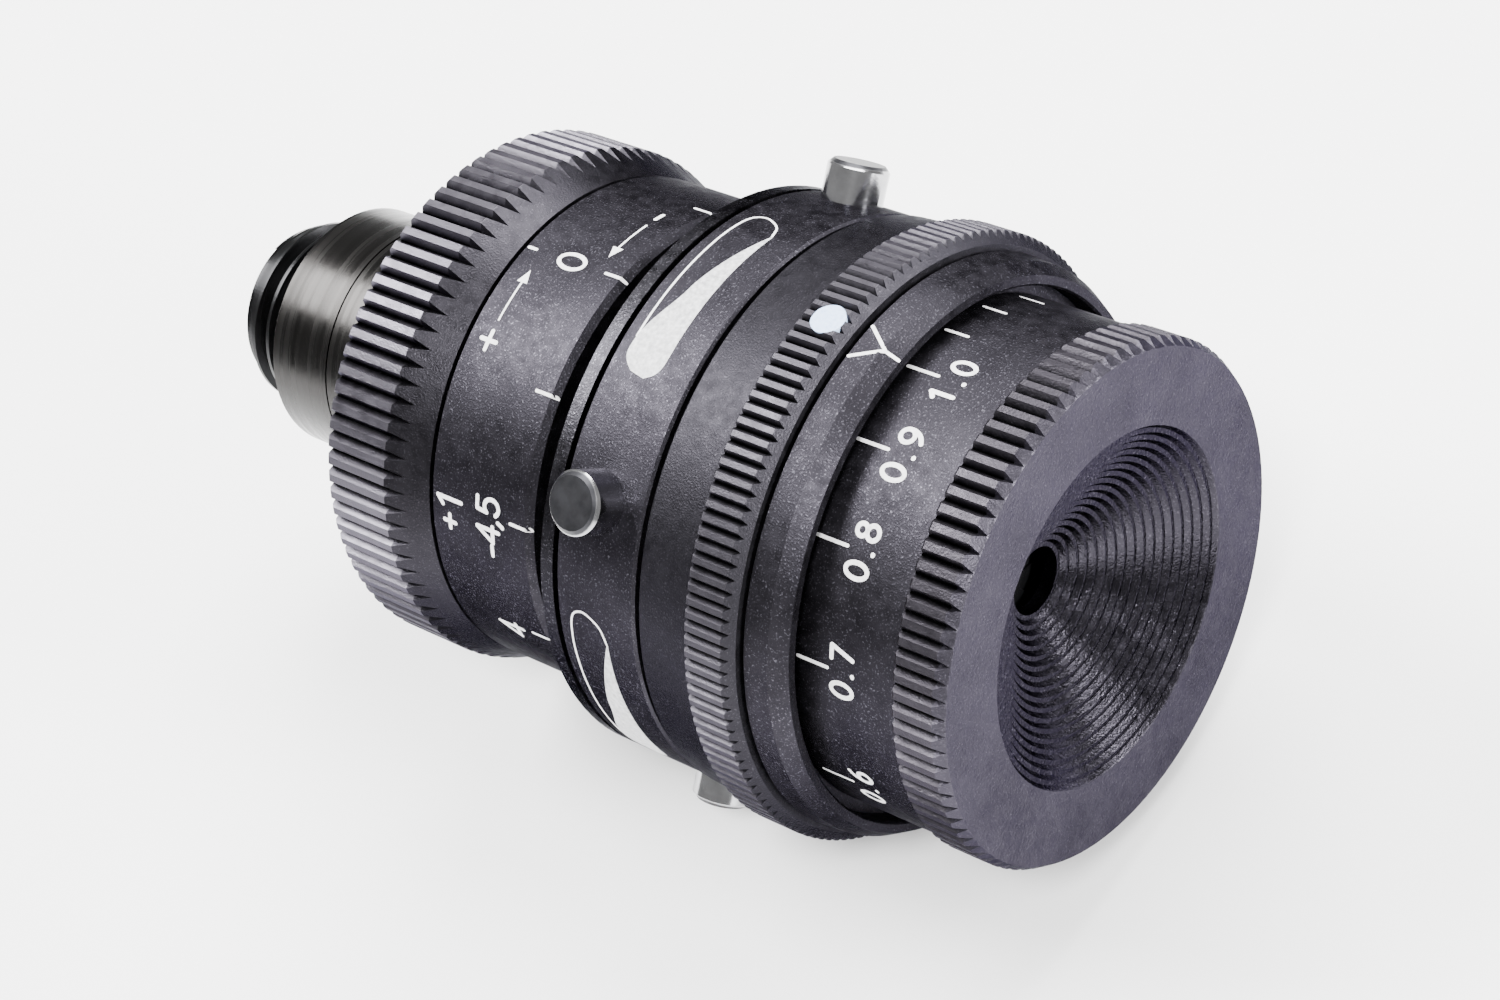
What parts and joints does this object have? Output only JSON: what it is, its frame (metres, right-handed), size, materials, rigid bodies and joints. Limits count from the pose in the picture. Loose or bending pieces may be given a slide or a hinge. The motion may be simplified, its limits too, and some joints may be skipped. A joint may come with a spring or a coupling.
{
  "type": "adjustable iris viewing eyepiece",
  "caption": "Screw-in viewing eyepiece with a dioptre ring, twin polariser rings with grip pins, and an adjustable iris behind a stepped eye disc.",
  "frame": {"origin": "on the optical axis, in the plane of the shoulder where the mounting thread meets the collar", "axes": "+X along the optical axis from the thread to the eyepiece; +Z towards the index marks; +Y completes the right-handed frame"},
  "size_m": [0.0506, 0.0286, 0.0286],
  "materials": {
    "black_satin": "bead-blasted black anodised",
    "black_thread": "black anodised, turned",
    "knurl_black": "black anodised, cut knurl",
    "collar_bright": "turned and polished",
    "ring_grey": "dark grey anodised, bright edge",
    "eye_grey": "matte grey anodised",
    "pin_steel": "polished, turned ends",
    "screw_steel": "blackened",
    "inner_black": "matt black",
    "lens_glass": "coated optical glass",
    "polar_glass": "polarising film between glass",
    "blade_steel": "blued spring steel",
    "plate_brass": "turned, blackened",
    "dot_enamel": "pale blue enamel"
  },
  "bodies": {
    "housing": {"mount_stub": "black_thread", "collar": "collar_bright", "collar_ring": "collar_bright", "rear_flange": "black_satin", "flange_screws": "screw_steel", "main_tube": "inner_black", "ring_a": "ring_grey", "index_sleeve": "black_satin", "front_screws": "screw_steel", "iris_hub": "inner_black", "iris_plate": "plate_brass", "objective_lens": "lens_glass", "objective_ring": "inner_black"},
    "dioptre_drive": {"dioptre_ring": "knurl_black", "scale_sleeve": "black_satin"},
    "lens_carriage": {"lens_cell": "inner_black", "dioptre_lens": "lens_glass", "lens_ring": "inner_black", "guide_pins": "screw_steel"},
    "polariser": {"polariser_ring": "black_satin", "drive_pins": "pin_steel", "grip_pins": "pin_steel", "polariser_cell": "inner_black", "polariser_filter": "polar_glass", "polariser_clip": "inner_black"},
    "analyser": {"analyser_ring": "knurl_black", "index_dot": "dot_enamel", "analyser_screws": "screw_steel", "analyser_cell": "inner_black", "analyser_filter": "polar_glass", "analyser_clip": "inner_black"},
    "iris_drive": {"iris_barrel": "black_satin", "eye_disc": "eye_grey", "eye_screws": "screw_steel"},
    "iris_leaf_1": {"iris_blade_1": "blade_steel"},
    "iris_leaf_2": {"iris_blade_2": "blade_steel"},
    "iris_leaf_3": {"iris_blade_3": "blade_steel"},
    "iris_leaf_4": {"iris_blade_4": "blade_steel"},
    "iris_leaf_5": {"iris_blade_5": "blade_steel"},
    "iris_leaf_6": {"iris_blade_6": "blade_steel"},
    "iris_leaf_7": {"iris_blade_7": "blade_steel"},
    "iris_leaf_8": {"iris_blade_8": "blade_steel"}
  },
  "joints": [
    {"name": "dioptre_turn", "type": "hinge", "parent": "housing", "child": "dioptre_drive", "pos_m": [0.014, 0, 0], "axis": [1, 0, 0], "range_deg": [-110, 110]},
    {"name": "lens_focus", "type": "slide", "parent": "housing", "child": "lens_carriage", "axis": [1, 0, 0], "range_m": [-0.0012, 0.0012]},
    {"name": "polariser_turn", "type": "hinge", "parent": "housing", "child": "polariser", "pos_m": [0.0283, 0, 0], "axis": [1, 0, 0], "range_deg": [-45, 45]},
    {"name": "analyser_turn", "type": "hinge", "parent": "housing", "child": "analyser", "pos_m": [0.033, 0, 0], "axis": [1, 0, 0], "range_deg": [-60, 60]},
    {"name": "iris_turn", "type": "hinge", "parent": "housing", "child": "iris_drive", "pos_m": [0.042, 0, 0], "axis": [1, 0, 0], "range_deg": [-140, 200]},
    {"name": "leaf_1_turn", "type": "hinge", "parent": "housing", "child": "iris_leaf_1", "pos_m": [0.0401, 0.0054, 0.0054], "axis": [1, 0, 0], "range_deg": [-4.2, 3]},
    {"name": "leaf_2_turn", "type": "hinge", "parent": "housing", "child": "iris_leaf_2", "pos_m": [0.0401, 0.00764, 0], "axis": [1, 0, 0], "range_deg": [-4.2, 3]},
    {"name": "leaf_3_turn", "type": "hinge", "parent": "housing", "child": "iris_leaf_3", "pos_m": [0.0401, 0.0054, -0.0054], "axis": [1, 0, 0], "range_deg": [-4.2, 3]},
    {"name": "leaf_4_turn", "type": "hinge", "parent": "housing", "child": "iris_leaf_4", "pos_m": [0.0401, 0, -0.00764], "axis": [1, 0, 0], "range_deg": [-4.2, 3]},
    {"name": "leaf_5_turn", "type": "hinge", "parent": "housing", "child": "iris_leaf_5", "pos_m": [0.0401, -0.0054, -0.0054], "axis": [1, 0, 0], "range_deg": [-4.2, 3]},
    {"name": "leaf_6_turn", "type": "hinge", "parent": "housing", "child": "iris_leaf_6", "pos_m": [0.0401, -0.00764, 0], "axis": [1, 0, 0], "range_deg": [-4.2, 3]},
    {"name": "leaf_7_turn", "type": "hinge", "parent": "housing", "child": "iris_leaf_7", "pos_m": [0.0401, -0.0054, 0.0054], "axis": [1, 0, 0], "range_deg": [-4.2, 3]},
    {"name": "leaf_8_turn", "type": "hinge", "parent": "housing", "child": "iris_leaf_8", "pos_m": [0.0401, 0, 0.00764], "axis": [1, 0, 0], "range_deg": [-4.2, 3]}
  ],
  "couplings": [
    {"joint": "lens_focus", "follows": "dioptre_turn", "m_per_rad": 0.0006},
    {"joint": "leaf_1_turn", "follows": "iris_turn", "ratio": -0.02},
    {"joint": "leaf_2_turn", "follows": "iris_turn", "ratio": -0.02},
    {"joint": "leaf_3_turn", "follows": "iris_turn", "ratio": -0.02},
    {"joint": "leaf_4_turn", "follows": "iris_turn", "ratio": -0.02},
    {"joint": "leaf_5_turn", "follows": "iris_turn", "ratio": -0.02},
    {"joint": "leaf_6_turn", "follows": "iris_turn", "ratio": -0.02},
    {"joint": "leaf_7_turn", "follows": "iris_turn", "ratio": -0.02},
    {"joint": "leaf_8_turn", "follows": "iris_turn", "ratio": -0.02}
  ]
}
